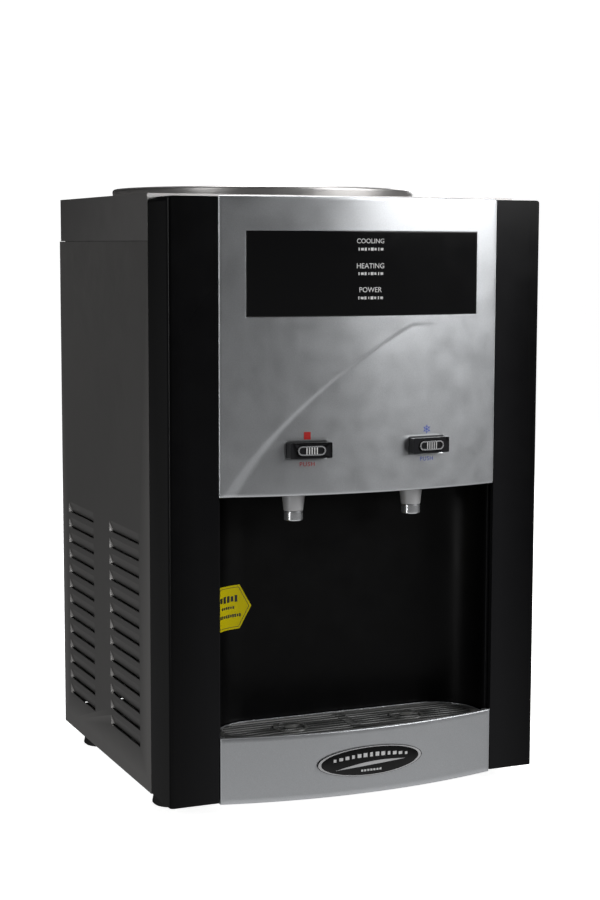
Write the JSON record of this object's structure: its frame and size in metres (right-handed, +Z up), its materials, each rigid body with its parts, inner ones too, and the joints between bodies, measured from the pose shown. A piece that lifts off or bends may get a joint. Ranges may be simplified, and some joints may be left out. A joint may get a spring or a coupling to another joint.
{
  "type": "countertop water dispenser",
  "caption": "Countertop hot and cold water dispenser with push-button taps in a cup alcove, slide-out drip tray, louvred sides and a bottle collar on top.",
  "frame": {"origin": "middle of the overall footprint, on the surface the feet stand on", "axes": "+Z up, the taps and buttons face -Y, +X is to the right of someone facing the taps"},
  "size_m": [0.31, 0.3518, 0.4766],
  "materials": {
    "black_abs": "semi-gloss moulded black",
    "black_satin": "satin moulded black",
    "black_gloss": "polished black window",
    "button_gloss": "gloss black",
    "badge_black": "gloss black plaque with a thin silver edge",
    "silver_paint": "satin silver metallic paint over moulded plastic",
    "cover_silver": "satin grey metallic paint over moulded plastic",
    "steel_paint": "fine-textured dark grey metallic coat on steel sheet",
    "galvanised_steel": "galvanised sheet",
    "grey_plastic": "satin grey",
    "chrome": "bright plated",
    "satin_metal": "satin silver",
    "rubber": "matt black",
    "stainless": "drawn stainless",
    "copper": "drawn copper, slightly tarnished",
    "white_plastic": "white food-grade moulding",
    "foam": "closed-cell foam",
    "silicone": "pale food-grade silicone",
    "label_yellow": "yellow vinyl",
    "circuit_board": "green lacquer",
    "compressor_black": "black enamel",
    "switch_red": "red",
    "switch_blue": "blue"
  },
  "bodies": {
    "cabinet": {"base_pan": "galvanised_steel", "foot_front_left": "rubber", "foot_front_right": "rubber", "foot_rear_left": "rubber", "foot_rear_right": "rubber", "front_frame": "black_abs", "fascia": "silver_paint", "display_window": "black_gloss", "indicator_board": "circuit_board", "alcove_liner": "black_satin", "warning_label": "label_yellow", "side_panel_left": "steel_paint", "side_panel_right": "steel_paint", "rear_panel": "galvanised_steel", "cord_gland": "rubber", "switch_housing": "black_satin", "drain_fitting": "white_plastic", "top_cover": "cover_silver", "bottle_collar": "cover_silver", "cold_tank": "stainless", "cold_tank_foam": "foam", "evaporator_coil": "copper", "hot_tank": "stainless", "heater_band": "satin_metal", "hot_thermostat": "black_satin", "hot_bezel": "button_gloss", "hot_lever_pin": "stainless", "hot_spring": "stainless", "hot_bonnet": "white_plastic", "hot_valve_body": "satin_metal", "hot_nozzle": "chrome", "cold_bezel": "button_gloss", "cold_lever_pin": "stainless", "cold_spring": "stainless", "cold_bonnet": "white_plastic", "cold_valve_body": "satin_metal", "cold_nozzle": "chrome", "tap_bracket": "galvanised_steel", "cold_hose": "silicone", "transfer_hose": "silicone", "hot_hose": "silicone", "compressor": "compressor_black", "condenser": "compressor_black", "filter_drier": "copper", "control_box": "white_plastic"},
    "tray": {"drip_tray": "silver_paint", "tray_badge": "badge_black"},
    "grille": {"drip_grille": "grey_plastic"},
    "guard": {"water_guard": "white_plastic", "feed_tube": "white_plastic"},
    "hot_push": {"hot_button": "button_gloss"},
    "hot_crank": {"hot_lever": "white_plastic"},
    "hot_valve": {"hot_plunger": "silicone"},
    "cold_push": {"cold_button": "button_gloss"},
    "cold_crank": {"cold_lever": "white_plastic"},
    "cold_valve": {"cold_plunger": "silicone"},
    "hot_switch": {"hot_switch_rocker": "switch_red"},
    "cold_switch": {"cold_switch_rocker": "switch_blue"},
    "cap": {"drain_cap": "black_satin"}
  },
  "joints": [
    {"name": "drip_tray_slide", "type": "slide", "parent": "cabinet", "child": "tray", "axis": [0, -1, 0], "range_m": [0, 0.12]},
    {"name": "drip_grille_lift", "type": "slide", "parent": "tray", "child": "grille", "axis": [0, 0, 1], "range_m": [0, 0.06]},
    {"name": "water_guard_lift", "type": "slide", "parent": "cabinet", "child": "guard", "axis": [0, 0, 1], "range_m": [0, 0.12]},
    {"name": "hot_button_push", "type": "slide", "parent": "cabinet", "child": "hot_push", "axis": [0, 1, 0], "range_m": [0, 0.004], "stiffness_N_per_m": 600, "springref_m": -0.002},
    {"name": "hot_lever_pivot", "type": "hinge", "parent": "cabinet", "child": "hot_crank", "pos_m": [-0.05, -0.1251, 0.262], "axis": [1, 0, 0], "range_deg": [-15, 0]},
    {"name": "hot_plunger_lift", "type": "slide", "parent": "cabinet", "child": "hot_valve", "axis": [0, 0, 1], "range_m": [0, 0.0036], "deforming": ["hot_spring"]},
    {"name": "cold_button_push", "type": "slide", "parent": "cabinet", "child": "cold_push", "axis": [0, 1, 0], "range_m": [0, 0.004], "stiffness_N_per_m": 600, "springref_m": -0.002},
    {"name": "cold_lever_pivot", "type": "hinge", "parent": "cabinet", "child": "cold_crank", "pos_m": [0.05, -0.1251, 0.262], "axis": [1, 0, 0], "range_deg": [-15, 0]},
    {"name": "cold_plunger_lift", "type": "slide", "parent": "cabinet", "child": "cold_valve", "axis": [0, 0, 1], "range_m": [0, 0.0036], "deforming": ["cold_spring"]},
    {"name": "hot_switch_rock", "type": "hinge", "parent": "cabinet", "child": "hot_switch", "pos_m": [-0.112, 0.1249, 0.408], "axis": [1, 0, 0], "range_deg": [0, 14]},
    {"name": "cold_switch_rock", "type": "hinge", "parent": "cabinet", "child": "cold_switch", "pos_m": [-0.112, 0.1249, 0.384], "axis": [1, 0, 0], "range_deg": [0, 14]},
    {"name": "drain_cap_pull", "type": "slide", "parent": "cabinet", "child": "cap", "axis": [0, 1, 0], "range_m": [0, 0.03]}
  ],
  "couplings": [
    {"joint": "hot_lever_pivot", "follows": "hot_button_push", "rad_per_m": -60.6},
    {"joint": "hot_plunger_lift", "follows": "hot_button_push", "ratio": 0.86},
    {"joint": "cold_lever_pivot", "follows": "cold_button_push", "rad_per_m": -60.6},
    {"joint": "cold_plunger_lift", "follows": "cold_button_push", "ratio": 0.86}
  ]
}
